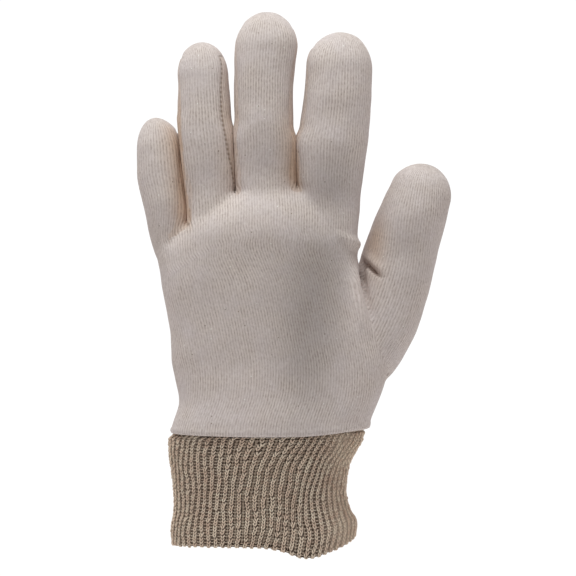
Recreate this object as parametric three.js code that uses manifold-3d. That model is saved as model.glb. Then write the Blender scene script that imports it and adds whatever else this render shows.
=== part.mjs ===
// A knitted cotton work glove with a ribbed wrist, held open in the form of a left hand.
// Millimetres. +Z runs from the cuff to the fingertips, +X points to the thumb and +Y to the palm side,
// so the back of the hand faces -Y. The origin is the middle of the wrist opening.
// The hand is one hollow form, cut along its seams into the panels that it is sewn from.
import * as THREE from "three";
import { mergeVertices } from "three/addons/utils/BufferGeometryUtils.js";
import Module from "manifold-3d";

// Cloth and seams
const clothWall = 1.3;
const seamGap = 0.3;

// Ribbed cuff
const cuffWidth = 91;
const cuffLength = 50.6; // wrist edge to the hem of the hand
const cuffTuck = 6; // how far the cuff runs up inside the hem
const cuffWall = 2;
const cuffClearance = 0.4; // between the rib crests and the inside of the hem
const ribCount = 60;
const ribDepth = 0.9;
const ribLean = 9; // degrees that the ribs twist round from hem to edge

// Hand
const wristDepth = 44; // of the hem, and nearly of the cuff
const palmLength = 115; // hem to the highest web, at the middle finger

// Fingers, from the little finger across to the index: width at the web line, depth, length above the
// web line, drop of the web line below its highest place, lean away from upright in degrees, set of the
// finger towards the palm side, and bend of its tip to that side
const fingers = [
  { name: "little", width: 17.6, depth: 18.5, length: 55.8, drop: 25.6, lean: -5.5, set: 4, bend: 7 },
  { name: "ring", width: 22, depth: 22, length: 75.6, drop: 10.6, lean: -3.6, set: 1.5, bend: 9 },
  { name: "middle", width: 26.8, depth: 25, length: 79.4, drop: 0, lean: 0.6, set: 0, bend: 9 },
  { name: "index", width: 29.3, depth: 26.5, length: 77, drop: 7.6, lean: 4.4, set: 0.5, bend: 8 },
];
const fingerGap = 0.5; // between neighbouring fingers at the web line
const fingerRoot = 24; // how far a finger's form reaches down inside the hand

// Thumb
const thumb = { width: 31, depth: 29, length: 107, lean: 17.4, set: 8, bend: 7 };
const thumbFoot = 22; // height of the thumb's foot above the hem
const thumbInset = 10.8; // how far the foot lies inside the edge of the hand

// Fourchettes, the strips between the fingers. turn: how far a strip is turned towards the back of the
// hand, on the finger to its left and on the one to its right.
const fourchetteWidth = 14;
const fourchetteTip = 3; // width at the fingertip end
const fourchetteStop = 7; // distance that they end below the fingertip
const fourchetteLap = 0.2; // overlap of a strip's two arms at the plane between the fingers
const fourchetteTurns = [
  { left: 0, right: 0 },
  { left: 2.4, right: 0 },
  { left: 0, right: 0 },
];

// Sections of the hand, from the hem up. at: share of the way from the hem to the web line. left and
// right: its edges from the middle of the wrist opening, as shares of the hand's width. back and palm:
// reach of its two faces, as shares of the wrist's depth.
const handRows = [
  { at: 0, left: -0.449, right: 0.493, back: 0.5, palm: 0.5 },
  { at: 0.05, left: -0.438, right: 0.5, back: 0.49, palm: 0.495 },
  { at: 0.155, left: -0.411, right: 0.549, back: 0.435, palm: 0.49 },
  { at: 0.27, left: -0.425, right: 0.579, back: 0.405, palm: 0.5 },
  { at: 0.38, left: -0.443, right: 0.557, back: 0.4, palm: 0.49 },
  { at: 0.49, left: -0.445, right: 0.512, back: 0.405, palm: 0.46 },
  { at: 0.6, left: -0.46, right: 0.473, back: 0.415, palm: 0.43 },
  { at: 0.7, left: -0.479, right: 0.449, back: 0.42, palm: 0.4 },
  { at: 0.765, left: -0.489, right: 0.437, back: 0.41, palm: 0.38 },
  { at: 0.8, left: -0.495, right: 0.455, back: 0.395, palm: 0.37 },
  { at: 0.835, left: -0.5, right: 0.435, back: 0.375, palm: 0.35 },
  { at: 0.9, left: -0.51, right: 0.437, back: 0.335, palm: 0.315 },
  { at: 0.965, left: -0.52, right: 0.435, back: 0.255, palm: 0.25 },
  { at: 1, left: -0.5, right: 0.41, back: 0.13, palm: 0.13 },
];

// Sections of a finger, from its root to the start of its round tip. at: place above the web line, as a
// share of its length. side: shift across, as a share of its width. wide and deep: shares of its width
// and depth.
const fingerRows = {
  little: [
    { at: -0.25, side: 0.14, wide: 0.8, deep: 0.8 },
    { at: 0, side: 0, wide: 1, deep: 0.95 },
    { at: 0.24, side: -0.03, wide: 1.09, deep: 0.97 },
    { at: 0.5, side: -0.09, wide: 1.17, deep: 1 },
    { at: 0.74, side: -0.08, wide: 1.12, deep: 0.98 },
  ],
  ring: [
    { at: -0.25, side: 0, wide: 0.98, deep: 0.96 },
    { at: 0, side: -0.02, wide: 1, deep: 0.96 },
    { at: 0.25, side: -0.04, wide: 1.05, deep: 0.98 },
    { at: 0.52, side: -0.06, wide: 1.12, deep: 1 },
    { at: 0.78, side: -0.05, wide: 1.08, deep: 0.96 },
  ],
  middle: [
    { at: -0.25, side: 0, wide: 0.98, deep: 0.94 },
    { at: 0, side: -0.015, wide: 1, deep: 0.94 },
    { at: 0.28, side: -0.06, wide: 1.0, deep: 0.96 },
    { at: 0.55, side: -0.075, wide: 1.035, deep: 0.98 },
    { at: 0.8, side: -0.04, wide: 1.06, deep: 1 },
  ],
  index: [
    { at: -0.25, side: 0, wide: 0.98, deep: 0.92 },
    { at: 0, side: 0, wide: 1, deep: 0.92 },
    { at: 0.28, side: -0.01, wide: 1.085, deep: 0.95 },
    { at: 0.52, side: 0.005, wide: 1.07, deep: 0.98 },
    { at: 0.78, side: 0, wide: 1.04, deep: 1 },
  ],
};

// Sections of the thumb, from its foot inside the hand. Columns as for a finger, with at as a share of
// its whole length.
const thumbRows = [
  { at: 0, side: -0.1, wide: 0.72, deep: 0.9 },
  { at: 0.1, side: 0, wide: 0.86, deep: 1.04 },
  { at: 0.2, side: 0, wide: 1.05, deep: 1.12 },
  { at: 0.3, side: 0, wide: 1.16, deep: 1.12 },
  { at: 0.45, side: 0, wide: 1.14, deep: 1.06 },
  { at: 0.6, side: 0, wide: 1.085, deep: 1 },
  { at: 0.73, side: 0, wide: 1.04, deep: 0.98 },
  { at: 0.86, side: 0.02, wide: 0.94, deep: 0.9 },
];

// Sections of the cuff below the hem. at: share of the cuff's length. left and right: its edges, as
// shares of the cuff's width. deep: share of the wrist's depth.
const cuffRows = [
  { at: 0.07, left: -0.49, right: 0.498, deep: 0.96 },
  { at: 0.16, left: -0.49, right: 0.468, deep: 0.95 },
  { at: 0.27, left: -0.484, right: 0.436, deep: 0.92 },
  { at: 0.4, left: -0.472, right: 0.42, deep: 0.9 },
  { at: 0.55, left: -0.465, right: 0.414, deep: 0.89 },
  { at: 0.7, left: -0.465, right: 0.434, deep: 0.9 },
  { at: 0.85, left: -0.478, right: 0.468, deep: 0.93 },
  { at: 1, left: -0.475, right: 0.462, deep: 0.92 },
];

// Waves of the cuff's lower edge. x: place, as a share of the cuff's half width. spread: likewise.
// lift: rise of the edge, as a share of the cuff's length. face: which face it is on, or both.
const edgeWaves = [
  { x: 0.44, spread: 0.26, lift: -0.1, face: "back" },
  { x: 1, spread: 0.14, lift: 0.1, face: "both" },
];

// Fineness of the faceted forms
const sides = { hand: 32, finger: 16, thumb: 16, cuffInside: 24 };
const ribPoints = 2; // points around each rib
const stallSteps = 5; // sections of a finger or thumb from its foot to its round tip
const fourchetteSteps = 4;
const seamSteps = { across: 8, up: 6 };
const cuffPlaces = {
  outside: [1, 0.95, 0.72, 0.42, 0.16, 0.07, 0.012],
  inside: [1, 0.72, 0.42, 0.16, 0.07, 0.012],
};
const hemEnd = 0.05; // share of the cuff's length by which it has swelled out from under the hem
const tipAngles = [30, 57, 79]; // degrees over the round of a fingertip
const roundness = { hand: 2.5, finger: 2.15 }; // exponent of a section: 2 is an ellipse

const wasm = await Module();
wasm.setup();

const radians = THREE.MathUtils.degToRad;
const lerp = THREE.MathUtils.lerp;
const clamp = THREE.MathUtils.clamp;
const sum = (values) => values.reduce((total, value) => total + value, 0);

// Heights, and the row of fingers side by side at the web line, its edges in line with the hand's
const hemHeight = cuffLength;
const webHeight = hemHeight + palmLength;
const handWidth = sum(fingers.map((finger) => finger.width)) + fingerGap * (fingers.length - 1);
const topRow = handRows[handRows.length - 1];
fingers.forEach((finger, i) => {
  const before = sum(fingers.slice(0, i).map((other) => other.width + fingerGap));
  const middle = (topRow.left + topRow.right) / 2;
  finger.x = middle * handWidth - handWidth / 2 + before + finger.width / 2;
  finger.z = webHeight - finger.drop;
  finger.slope = Math.tan(radians(finger.lean));
});
const longest = Math.max(...fingers.map((finger) => finger.length));
const far = 2 * (webHeight + longest); // reach of the cutting blocks, beyond the glove all round

// A closed mesh as a solid that can be joined and cut.
function solid(geometry) {
  const merged = mergeVertices(geometry, 1e-4);
  return new wasm.Manifold(
    new wasm.Mesh({
      numProp: 3,
      vertProperties: merged.getAttribute("position").array,
      triVerts: new Uint32Array(merged.index.array),
    }),
  );
}

const join = (solids) => solids.reduce((joined, next) => joined.add(next));

// A closed skin through rings of points that run anticlockwise seen from the last ring. All rings have
// as many points as the first, and both ends are closed to their middles.
function skin(rings) {
  const count = rings[0].length;
  const middle = (ring) => ring.reduce((total, p) => total.add(p), new THREE.Vector3()).divideScalar(count);
  const points = [...rings.flat(), middle(rings[0]), middle(rings[rings.length - 1])];
  const faces = [];
  rings.forEach((_, i) => {
    const [low, high] = [i * count, (i + 1) * count];
    for (let j = 0; j < count; j++) {
      const k = (j + 1) % count;
      if (i === 0) faces.push(k, j, points.length - 2);
      if (i === rings.length - 1) faces.push(low + j, low + k, points.length - 1);
      else faces.push(low + j, low + k, high + k, low + j, high + k, high + j);
    }
  });
  return solid(new THREE.BufferGeometry().setFromPoints(points).setIndex(faces));
}

// A point of a rounded section with half sizes 1 by 1, at a turn from 0 to 1.
function sectionPoint(turn, exponent) {
  const angle = 2 * Math.PI * turn;
  const soften = (v) => Math.sign(v) * Math.abs(v) ** (2 / exponent);
  return [soften(Math.cos(angle)), soften(Math.sin(angle))];
}

// A column of a table at any place, on a smooth curve through its rows.
function tableAt(rows, column, at) {
  const next = rows.findIndex((row) => row.at > at);
  if (next === 0) return rows[0][column];
  if (next < 0) return rows[rows.length - 1][column];
  const row = (i) => rows[clamp(i, 0, rows.length - 1)];
  const [before, low, high, after] = [row(next - 2), row(next - 1), row(next), row(next + 1)];
  const span = high.at - low.at;
  const t = (at - low.at) / span;
  const rise = (a, b) => ((b[column] - a[column]) / (b.at - a.at)) * span;
  return (
    (2 * t ** 3 - 3 * t ** 2 + 1) * low[column] +
    (t ** 3 - 2 * t ** 2 + t) * rise(before, high) +
    (3 * t ** 2 - 2 * t ** 3) * high[column] +
    (t ** 3 - t ** 2) * rise(low, after)
  );
}

// The height of the web line at x, on a smooth curve over the fingers.
function webLine(x) {
  const rows = fingers.map((finger) => ({ at: finger.x, z: finger.z }));
  return tableAt(rows, "z", x);
}

// The middle of the glove's depth, where the back meets the palm: it follows the set and the bend of
// each finger, and fades into the flat of the hand below.
function midDepth(x, z) {
  const fade = clamp((z - hemHeight) / palmLength, 0, 1) ** 2;
  const rows = fingers.map((finger) => {
    const above = Math.max(0, z - finger.z);
    const bent = finger.bend * Math.min(above / finger.length, 1) ** 2;
    return { at: finger.x + finger.slope * above, y: fade * finger.set + bent };
  });
  return tableAt(rows, "y", x);
}

// The hand from its hem to the web line, grown outwards by a distance and drawn on below the hem.
function handForm(grow, below = 0) {
  const rings = handRows.map((row) => {
    const middle = ((row.left + row.right) / 2) * handWidth;
    const reach = ((row.right - row.left) / 2) * handWidth + grow;
    const lift = row === handRows[handRows.length - 1] ? grow : 0;
    return Array.from({ length: sides.hand }, (_, j) => {
      const [across, deep] = sectionPoint(j / sides.hand, roundness.hand);
      const x = middle + reach * across;
      const z = lerp(hemHeight, webLine(x), row.at) + lift;
      const half = (deep < 0 ? row.back : row.palm) * wristDepth + grow;
      return new THREE.Vector3(x, midDepth(x, z) + half * deep, z);
    });
  });
  if (below) rings.unshift(rings[0].map((p) => p.clone().setZ(p.z - below)));
  return skin(rings);
}

// A finger or thumb: a tube along a leaning, slightly bent spine, with a round tip.
function stallForm({ foot, lean, length, root, width, depth, bend, rows, count }, grow) {
  const along = new THREE.Vector3(Math.sin(radians(lean)), 0, Math.cos(radians(lean)));
  const across = new THREE.Vector3(Math.cos(radians(lean)), 0, -Math.sin(radians(lean)));
  const ring = (at, scale, beyond) => {
    const wide = ((tableAt(rows, "wide", at) * width) / 2 + grow) * scale;
    const deep = ((tableAt(rows, "deep", at) * depth) / 2 + grow) * scale;
    const up = at * length + beyond;
    const centre = foot
      .clone()
      .addScaledVector(along, up)
      .addScaledVector(across, tableAt(rows, "side", at) * width);
    centre.y += bend * clamp(up / length, 0, 1) ** 2;
    return Array.from({ length: count }, (_, j) => {
      const [c, s] = sectionPoint(j / count, roundness.finger);
      const point = centre.clone().addScaledVector(across, wide * c);
      point.y += deep * s;
      return point;
    });
  };
  const end = rows[rows.length - 1].at;
  const tip = (1 - end) * length + grow;
  const straight = Array.from({ length: stallSteps + 1 }, (_, i) => ring(lerp(0, end, i / stallSteps), 1, 0));
  const round = tipAngles.map((angle) => ring(end, Math.cos(radians(angle)), tip * Math.sin(radians(angle))));
  const rings = root ? [ring(-root / length, 1, 0), ...straight, ...round] : [...straight, ...round];
  return skin(rings);
}

function fingerForm(finger, grow) {
  const foot = new THREE.Vector3(finger.x, finger.set, finger.z);
  const shape = { foot, root: fingerRoot, rows: fingerRows[finger.name], count: sides.finger };
  return stallForm({ ...finger, ...shape }, grow);
}

function thumbForm(grow) {
  const edge = tableAt(handRows, "right", thumbFoot / palmLength) * handWidth;
  const foot = new THREE.Vector3(edge - thumbInset, thumb.set, hemHeight + thumbFoot);
  return stallForm({ ...thumb, foot, root: 0, rows: thumbRows, count: sides.thumb }, grow);
}

// The place across of a finger's right edge (way 1), left edge (way -1) or middle (way 0) at a height.
function edgeOf(finger, z, way) {
  const above = Math.max(0, z - finger.z);
  const at = above / finger.length;
  const [side, wide] = ["side", "wide"].map((column) => tableAt(fingerRows[finger.name], column, at));
  return finger.x + finger.slope * above + (side + (way * wide) / 2) * finger.width;
}

// The space of a fourchette on one of its two fingers: from the finger's middle to the plane between
// the fingers, as deep as the strip is wide. way: 1 from the left finger, -1 from the right one.
function fourchetteArm(pair, way, grow) {
  const [left, right] = pair.fingers;
  const finger = way > 0 ? left : right;
  const turn = way > 0 ? pair.turn.left : pair.turn.right;
  const low = Math.min(left.z, right.z) - fingerRoot / 2;
  const high = finger.z + finger.length - fourchetteStop + grow;
  const rings = Array.from({ length: fourchetteSteps + 1 }, (_, i) => {
    const z = lerp(low, high, i / fourchetteSteps);
    const share = Math.max(0, (z - finger.z) / (high - finger.z));
    const half = lerp(fourchetteWidth, fourchetteTip, share ** 3) / 2 + grow;
    const own = edgeOf(finger, z, 0);
    const between = (edgeOf(left, z, 1) + edgeOf(right, z, -1)) / 2 + way * fourchetteLap;
    const middle = midDepth(own, z) - turn;
    const [x0, x1] = way > 0 ? [own, between] : [between, own];
    return [
      new THREE.Vector3(x0, middle - half, z),
      new THREE.Vector3(x1, middle - half, z),
      new THREE.Vector3(x1, middle + half, z),
      new THREE.Vector3(x0, middle + half, z),
    ];
  });
  return skin(rings);
}

function fourchetteSpace(pair, grow) {
  return fourchetteArm(pair, 1, grow).add(fourchetteArm(pair, -1, grow));
}

// Everything on the palm side of the middle of the depth, from a shift beyond it.
function palmSide(shift) {
  const spread = 1.3 * handWidth;
  const near = Array.from({ length: seamSteps.across + 1 }, (_, i) => (i / seamSteps.across - 0.5) * spread);
  const columns = [-far, ...near, far];
  const risen = Array.from({ length: seamSteps.up + 1 }, (_, i) => {
    return hemHeight + (palmLength + longest) * Math.sqrt(i / seamSteps.up);
  });
  const rings = [-far, ...risen, far].map((z) => [
    ...columns.map((x) => new THREE.Vector3(x, midDepth(x, z) + shift, z)),
    new THREE.Vector3(far, far, z),
    new THREE.Vector3(-far, far, z),
  ]);
  return skin(rings);
}

// The outline of the cuff at a share of its length below the hem. Inside the hem, where the share is
// negative, it follows the hand's inside.
function cuffOutline(at) {
  if (at < hemEnd) {
    const row = (column) => tableAt(handRows, column, (-at * cuffLength) / palmLength);
    const inset = clothWall + cuffClearance;
    return {
      left: row("left") * handWidth + inset,
      right: row("right") * handWidth - inset,
      back: row("back") * wristDepth - inset,
      palm: row("palm") * wristDepth - inset,
    };
  }
  const row = (column) => tableAt(cuffRows, column, at);
  const deep = (row("deep") * wristDepth) / 2;
  return { left: row("left") * cuffWidth, right: row("right") * cuffWidth, back: deep, palm: deep };
}

// A closed form inside the cuff's outline, by an inset. With a valley depth it has ribs.
function cuffBlock(places, count, inset, valley, below) {
  const rings = places.map((at) => {
    const outline = cuffOutline(at);
    const lower = Math.max(at, 0);
    const turned = (ribLean / 360) * lower;
    const rounding = at === 1 && valley ? cuffWall / 3 : 0;
    return Array.from({ length: count }, (_, j) => {
      const [c, s] = sectionPoint(j / count - turned, roundness.finger);
      const cut = inset + rounding + (j % ribPoints ? 0 : valley);
      const x = (outline.left + outline.right) / 2 + ((outline.right - outline.left) / 2 - cut) * c;
      const y = ((s < 0 ? outline.back : outline.palm) - cut) * s;
      return new THREE.Vector3(x, y, hemHeight - at * cuffLength + edgeLift(x, y) * lower ** 2);
    });
  });
  if (below) rings.unshift(rings[0].map((p) => p.clone().setZ(p.z - below)));
  return skin(rings);
}

// The rise of the cuff's lower edge at a point of its section.
function edgeLift(x, y) {
  const place = x / (cuffWidth / 2);
  const waves = edgeWaves.filter((wave) => wave.face === "both" || y < 0);
  const share = sum(waves.map((wave) => wave.lift * Math.exp(-(((place - wave.x) / wave.spread) ** 2))));
  return share * cuffLength;
}

function cuffForm() {
  const top = -cuffTuck / cuffLength;
  const outside = cuffBlock([...cuffPlaces.outside, top], ribCount * ribPoints, 0, ribDepth, 0);
  const inside = cuffBlock([...cuffPlaces.inside, 2 * top], sides.cuffInside, cuffWall, 0, cuffTuck);
  return outside.subtract(inside);
}

// A named mesh of a solid, in its own material.
function piece(name, made, material) {
  const { numProp, vertProperties, triVerts } = made.getMesh();
  const points = new THREE.BufferAttribute(new Float32Array(vertProperties), numProp);
  const geometry = new THREE.BufferGeometry();
  geometry.setAttribute("position", points);
  geometry.setIndex(new THREE.BufferAttribute(new Uint32Array(triVerts), 1));
  geometry.computeVertexNormals();
  const mesh = new THREE.Mesh(geometry, material);
  mesh.name = name;
  return mesh;
}

const cotton = new THREE.MeshStandardMaterial({ color: 0xd8cfc4, roughness: 0.95, metalness: 0 });
const ribKnit = new THREE.MeshStandardMaterial({ color: 0xa8927c, roughness: 0.97, metalness: 0 });

// The hand and its fingers as one hollow form, open at the hem and at the thumb's foot
const handWith = (grow, below) => join([handForm(grow, below), ...fingers.map((f) => fingerForm(f, grow))]);
const handShell = handWith(0).subtract(handWith(-clothWall, cuffTuck)).subtract(thumbForm(-clothWall));
const thumbShell = thumbForm(0).subtract(thumbForm(-clothWall)).subtract(handWith(seamGap));

const pairs = fourchetteTurns.map((turn, i) => ({ turn, fingers: [fingers[i], fingers[i + 1]] }));
const panels = handShell.subtract(join(pairs.map((pair) => fourchetteSpace(pair, seamGap / 2))));

const glove = new THREE.Group();
glove.name = "glove";
glove.add(piece("back_panel", panels.subtract(palmSide(-seamGap / 2)), cotton));
glove.add(piece("palm_panel", panels.intersect(palmSide(seamGap / 2)), cotton));
for (const pair of pairs) {
  const [left, right] = pair.fingers;
  const strip = handShell.intersect(fourchetteSpace(pair, -seamGap / 2));
  glove.add(piece(`fourchette_${right.name}_${left.name}`, strip, cotton));
}
glove.add(piece("thumb", thumbShell, cotton));
glove.add(piece("cuff", cuffForm(), ribKnit));

export default glove;
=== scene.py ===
"""A knitted cotton work glove with a ribbed wrist, made as a worn glove that keeps the form of a hand."""

import math

import bmesh
import bpy
import numpy as np
from mathutils import Matrix, Vector, noise


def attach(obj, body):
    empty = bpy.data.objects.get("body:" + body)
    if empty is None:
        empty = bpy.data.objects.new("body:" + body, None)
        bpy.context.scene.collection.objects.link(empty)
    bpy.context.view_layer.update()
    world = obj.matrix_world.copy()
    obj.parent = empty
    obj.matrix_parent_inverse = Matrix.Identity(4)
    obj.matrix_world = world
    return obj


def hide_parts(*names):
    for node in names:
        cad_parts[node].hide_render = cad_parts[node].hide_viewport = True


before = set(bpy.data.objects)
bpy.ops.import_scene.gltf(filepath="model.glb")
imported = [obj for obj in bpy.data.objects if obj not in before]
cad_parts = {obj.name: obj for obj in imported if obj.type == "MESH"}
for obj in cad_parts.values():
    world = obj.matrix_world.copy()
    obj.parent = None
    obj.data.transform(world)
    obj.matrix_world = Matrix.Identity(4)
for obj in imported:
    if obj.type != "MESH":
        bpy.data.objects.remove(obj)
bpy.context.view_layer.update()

bl_info = {
    "name": "Cotton work glove",
    "version": (1, 0, 0),
    "blender": (4, 5, 0),
    "location": "3D View > Sidebar > Glove",
    "description": "Builds a knitted cotton work glove with a ribbed wrist over its packed frame",
    "category": "Object",
}

# Sizes are in millimetres in the tables and functions, and turn to metres where a mesh is filled.
MM = 0.001

# Hand: hem to web line, and the fingers from the little one across to the index
HEM_HEIGHT = 50.6
PALM_LENGTH = 115.0
WEB_HEIGHT = HEM_HEIGHT + PALM_LENGTH
WRIST_DEPTH = 44.0
FINGER_GAP = 0.5
FINGER_ROOT = 24.0
HAND_ROUND = 2.5
FINGER_ROUND = 2.15


def table(columns, *rows):
    """Rows of numbers as one array for each named column."""
    return dict(zip(columns.split(), np.array(rows, float).T))


FINGER_COLUMNS = "at side wide deep"
FINGERS = [
    dict(name="little", width=17.6, depth=18.5, length=56.6, drop=25.6, lean=-5.5, set=4.0, bend=7.0,
         rows=table(FINGER_COLUMNS, (-0.25, 0.14, 0.8, 0.8), (0, 0, 1, 0.95), (0.24, -0.03, 1.09, 0.97),
                    (0.5, -0.09, 1.17, 1), (0.74, -0.08, 1.12, 0.98))),
    dict(name="ring", width=22.0, depth=22.0, length=76.4, drop=10.6, lean=-3.6, set=1.5, bend=9.0,
         rows=table(FINGER_COLUMNS, (-0.25, 0, 0.98, 0.96), (0, -0.02, 1, 0.96), (0.25, -0.04, 1.05, 0.98),
                    (0.52, -0.06, 1.12, 1), (0.78, -0.05, 1.08, 0.96))),
    dict(name="middle", width=26.8, depth=25.0, length=79.4, drop=0.0, lean=0.6, set=0.0, bend=9.0,
         rows=table(FINGER_COLUMNS, (-0.25, 0, 0.98, 0.94), (0, -0.015, 1, 0.94), (0.28, -0.06, 1, 0.96),
                    (0.55, -0.075, 1.035, 0.98), (0.8, -0.04, 1.06, 1))),
    dict(name="index", width=29.3, depth=26.5, length=78.0, drop=7.6, lean=4.4, set=0.5, bend=8.0,
         rows=table(FINGER_COLUMNS, (-0.25, 0, 0.98, 0.92), (0, 0, 1, 0.92), (0.28, -0.01, 1.085, 0.95),
                    (0.52, 0.005, 1.07, 0.98), (0.78, 0, 1.04, 1))),
]
THUMB = dict(
    name="thumb", width=31.0, depth=29.0, length=107.0, lean=17.4, set=8.0, bend=7.0,
    rows=table(FINGER_COLUMNS, (0, -0.1, 0.72, 0.9), (0.1, 0, 0.86, 1.04), (0.2, 0, 1.05, 1.12),
               (0.3, 0, 1.16, 1.12), (0.45, 0, 1.14, 1.06), (0.6, 0, 1.085, 1), (0.73, 0, 1.04, 0.98),
               (0.86, 0.02, 0.94, 0.9)))
THUMB_FOOT = 22.0
THUMB_INSET = 10.8
THUMB_CURVE = 5.0

# Sections of the hand as shares of its width and of the wrist's depth, from the hem up to the web line
HAND_ROWS = table(
    "at left right back palm",
    (0, -0.449, 0.493, 0.5, 0.5), (0.05, -0.438, 0.5, 0.49, 0.495), (0.155, -0.411, 0.549, 0.435, 0.49),
    (0.27, -0.425, 0.579, 0.405, 0.5), (0.38, -0.443, 0.557, 0.4, 0.49), (0.49, -0.445, 0.512, 0.405, 0.46),
    (0.6, -0.46, 0.473, 0.415, 0.43), (0.7, -0.479, 0.449, 0.42, 0.4), (0.765, -0.489, 0.437, 0.41, 0.38),
    (0.8, -0.495, 0.455, 0.395, 0.37), (0.835, -0.5, 0.435, 0.375, 0.35), (0.9, -0.51, 0.437, 0.335, 0.315),
    (0.965, -0.52, 0.435, 0.255, 0.25), (1, -0.5, 0.41, 0.13, 0.13))

# Cuff: sections below the hem, and the waves of its lower edge
CUFF_WIDTH = 91.0
CUFF_LENGTH = 50.6
CUFF_TUCK = 6.0
CUFF_CLEARANCE = 0.4
CUFF_ROWS = table(
    "at left right deep",
    (0.07, -0.49, 0.498, 0.96), (0.16, -0.49, 0.468, 0.95), (0.27, -0.484, 0.436, 0.92),
    (0.4, -0.472, 0.42, 0.9), (0.55, -0.465, 0.414, 0.89), (0.7, -0.465, 0.434, 0.9),
    (0.85, -0.478, 0.468, 0.93), (1, -0.475, 0.462, 0.92))
HEM_END = 0.05
EDGE_WAVES = [(0.44, 0.26, -0.1, "back"), (1.0, 0.14, 0.1, "both")]

# Fourchettes: width at the web and at the tip, distance below the tip, and the turn towards the back of
# the hand on the finger to the left of each pair
FOURCHETTE_WIDTH = 14.0
FOURCHETTE_TIP = 3.0
FOURCHETTE_STOP = 7.0
FOURCHETTE_TURNS = [0.0, 2.4, 0.0]

# Heights up to which each finger presses on the next one, and of the webs between them
FINGERS_TOUCH = [192.0, 187.0, 184.0]
WEBS = [145.0, 161.0, 162.0]

# Height above which points of the cut form that lie closer than 0.1 mm are joined
FINGERTIPS = 200.0


def curve_at(places, values, at):
    """Values at any places, on a smooth curve through knots. places and values have one row for a knot."""
    at = np.asarray(at, float)
    size = (len(places), at.size)
    places = np.broadcast_to(np.reshape(places, (len(places), -1)), size)
    values = np.broadcast_to(np.reshape(values, (len(values), -1)), size)
    at = np.clip(at.ravel(), places[0], places[-1])
    high = np.clip((places <= at).sum(0), 1, len(places) - 1)
    knots = [high - 2, high - 1, high, high + 1]
    knots = [np.clip(k, 0, len(places) - 1)[None] for k in knots]
    p0, p1, p2, p3 = (np.take_along_axis(places, k, 0)[0] for k in knots)
    v0, v1, v2, v3 = (np.take_along_axis(values, k, 0)[0] for k in knots)
    span = p2 - p1
    t = (at - p1) / span
    rise_low = (v2 - v0) / (p2 - p0) * span
    rise_high = (v3 - v1) / (p3 - p1) * span
    return ((2 * t**3 - 3 * t**2 + 1) * v1 + (t**3 - 2 * t**2 + t) * rise_low
            + (3 * t**2 - 2 * t**3) * v2 + (t**3 - t**2) * rise_high)


def column_at(rows, column, at):
    return curve_at(rows["at"], rows[column], at)


def ease(low, high, value):
    """0 below low, 1 above high, and a smooth step between."""
    t = np.clip((value - low) / (high - low), 0, 1)
    return t * t * (3 - 2 * t)


# The row of fingers side by side at the web line, its edges in line with the hand's
HAND_WIDTH = sum(f["width"] for f in FINGERS) + FINGER_GAP * (len(FINGERS) - 1)
row_start = ((HAND_ROWS["left"][-1] + HAND_ROWS["right"][-1]) / 2 - 0.5) * HAND_WIDTH
for finger in FINGERS:
    finger["x"] = row_start + finger["width"] / 2
    finger["z"] = WEB_HEIGHT - finger["drop"]
    finger["slope"] = math.tan(math.radians(finger["lean"]))
    finger["root"] = FINGER_ROOT
    row_start += finger["width"] + FINGER_GAP
THUMB["x"] = column_at(HAND_ROWS, "right", [THUMB_FOOT / PALM_LENGTH])[0] * HAND_WIDTH - THUMB_INSET
THUMB["z"] = HEM_HEIGHT + THUMB_FOOT
THUMB["root"] = 0.0
FINGER_X = np.array([f["x"] for f in FINGERS])
FINGER_Z = np.array([f["z"] for f in FINGERS])


def web_line(x):
    return curve_at(FINGER_X, FINGER_Z, x)


def mid_depth(x, z):
    """The middle of the glove's depth, where the back meets the palm."""
    x, z = np.asarray(x, float), np.asarray(z, float)
    fade = np.clip((z - HEM_HEIGHT) / PALM_LENGTH, 0, 1) ** 2
    places, values = [], []
    for finger in FINGERS:
        above = np.maximum(0, z - finger["z"])
        places.append(finger["x"] + finger["slope"] * above)
        values.append(fade * finger["set"] + finger["bend"] * np.minimum(above / finger["length"], 1) ** 2)
    return curve_at(np.array(places), np.array(values), x)


def section(turn, exponent):
    """A point of a rounded section with half sizes 1 by 1, at a turn from 0 to 1."""
    angle = 2 * np.pi * turn
    c, s = np.cos(angle), np.sin(angle)
    return np.sign(c) * np.abs(c) ** (2 / exponent), np.sign(s) * np.abs(s) ** (2 / exponent)


def turn_of(c, s, exponent):
    """The turn of a section's point."""
    c, s = np.sign(c) * np.abs(c) ** (exponent / 2), np.sign(s) * np.abs(s) ** (exponent / 2)
    return np.arctan2(s, c) / (2 * np.pi) % 1


def girth(wide, deep, exponent):
    """Turns round a section with its half sizes, and the length along it from the first turn to each."""
    turn = np.linspace(0, 1, 1441)
    c, s = section(turn, exponent)
    steps = np.hypot(np.diff(wide * c), np.diff(deep * s))
    return turn, np.concatenate([[0], np.cumsum(steps)])


HAND_GIRTH = girth(48.0, 20.0, HAND_ROUND)
THUMB_GIRTH = girth(THUMB["width"] / 2, THUMB["depth"] / 2, FINGER_ROUND)[1][-1]


def stall_frame(stall):
    """Foot, direction along and direction across of a finger or thumb."""
    lean = math.radians(stall["lean"])
    foot = np.array([stall["x"], stall["set"], stall["z"]])
    return foot, np.array([math.sin(lean), 0, math.cos(lean)]), np.array([math.cos(lean), 0, -math.sin(lean)])


def ball(sides, rings):
    """A closed ball of quads and triangles, to be drawn out into a form."""
    bm = bmesh.new()
    bmesh.ops.create_uvsphere(bm, u_segments=sides, v_segments=rings, radius=1)
    return bm


def places_on_ball(points):
    """Turn round the axis, 0 to 1, and share of the way from the lower pole to the upper one."""
    turn = np.arctan2(points[:, 1], points[:, 0]) / (2 * np.pi) % 1
    return turn, 1 - np.arccos(np.clip(points[:, 2], -1, 1)) / np.pi


def coordinates(bm):
    return np.array([v.co[:] for v in bm.verts])


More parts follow.
